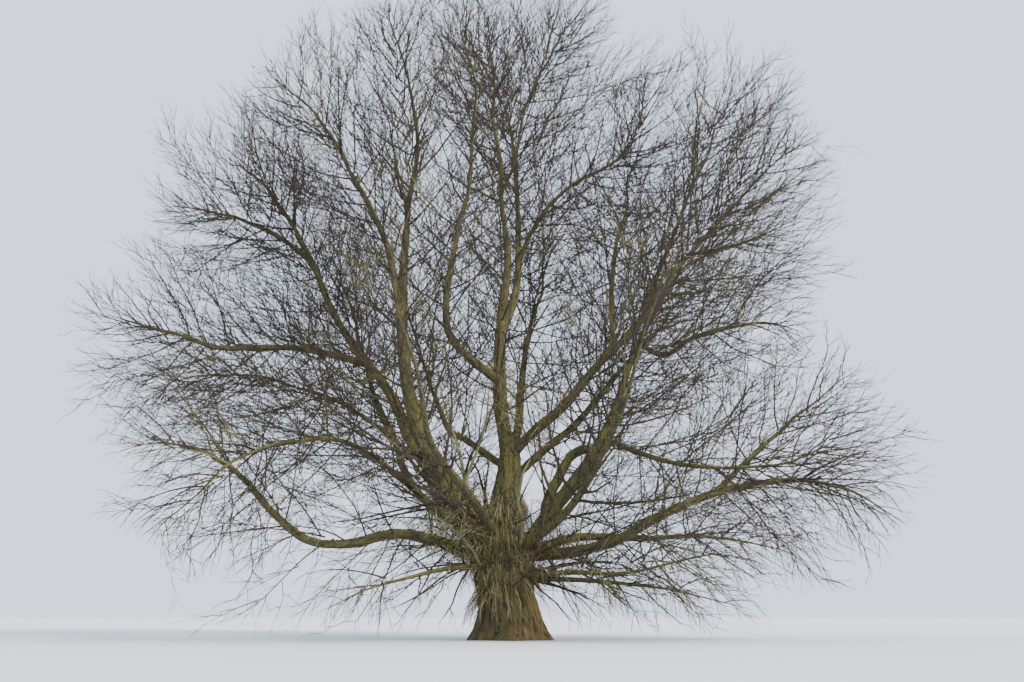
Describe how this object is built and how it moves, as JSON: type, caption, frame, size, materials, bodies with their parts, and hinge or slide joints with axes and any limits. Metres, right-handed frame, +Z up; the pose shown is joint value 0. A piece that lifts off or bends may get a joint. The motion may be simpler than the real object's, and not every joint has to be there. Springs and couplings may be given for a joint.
{
  "type": "bare winter tree",
  "caption": "Great old bare winter tree: a thick burred trunk with a root flare, spreading boughs and a broad round crown of fine leafless twigs, cut flat at ground level.",
  "frame": {"origin": "the middle of the flat cut at ground level, under the trunk", "axes": "+Z up, +X to the right and +Y to the back, as the tree is seen from the picture's side"},
  "size_m": [30.9621, 24.1207, 28.7985],
  "materials": {
    "bark": "rough, furrowed bark, olive and brown",
    "twig_bark": "fine dull twigs, brown to purple grey"
  },
  "bodies": {
    "root": {"trunk": "bark", "left_leader": "bark", "left_top": "bark", "left_outer": "bark", "left_high": "bark", "left_reach": "bark", "left_back": "bark", "left_mid": "bark", "left_arch": "bark", "left_low": "bark", "inner_left": "bark", "centre_leader": "bark", "centre_left": "bark", "centre_twin": "bark", "centre_right": "bark", "centre_top": "bark", "centre_back": "bark", "right_inner": "bark", "right_stem": "bark", "right_upper": "bark", "right_bough": "bark", "right_reach": "bark", "right_level": "bark", "right_low": "bark", "right_fan": "bark", "right_moss": "bark", "back_right": "bark", "left_leader_twigs": "twig_bark", "left_top_twigs": "twig_bark", "left_outer_twigs": "twig_bark", "left_high_twigs": "twig_bark", "left_reach_twigs": "twig_bark", "left_back_twigs": "twig_bark", "left_mid_twigs": "twig_bark", "left_arch_twigs": "twig_bark", "left_low_twigs": "twig_bark", "inner_left_twigs": "twig_bark", "centre_leader_twigs": "twig_bark", "centre_left_twigs": "twig_bark", "centre_twin_twigs": "twig_bark", "centre_right_twigs": "twig_bark", "centre_top_twigs": "twig_bark", "centre_back_twigs": "twig_bark", "right_inner_twigs": "twig_bark", "right_stem_twigs": "twig_bark", "right_upper_twigs": "twig_bark", "right_bough_twigs": "twig_bark", "right_reach_twigs": "twig_bark", "right_level_twigs": "twig_bark", "right_low_twigs": "twig_bark", "right_fan_twigs": "twig_bark", "right_moss_twigs": "twig_bark", "back_right_twigs": "twig_bark", "front_left_twigs": "twig_bark", "front_right_twigs": "twig_bark", "back_left_twigs": "twig_bark", "left_sweep_twigs": "twig_bark", "right_sweep_twigs": "twig_bark", "right_droop_twigs": "twig_bark", "shoots_front_twigs": "twig_bark"}
  },
  "joints": []
}
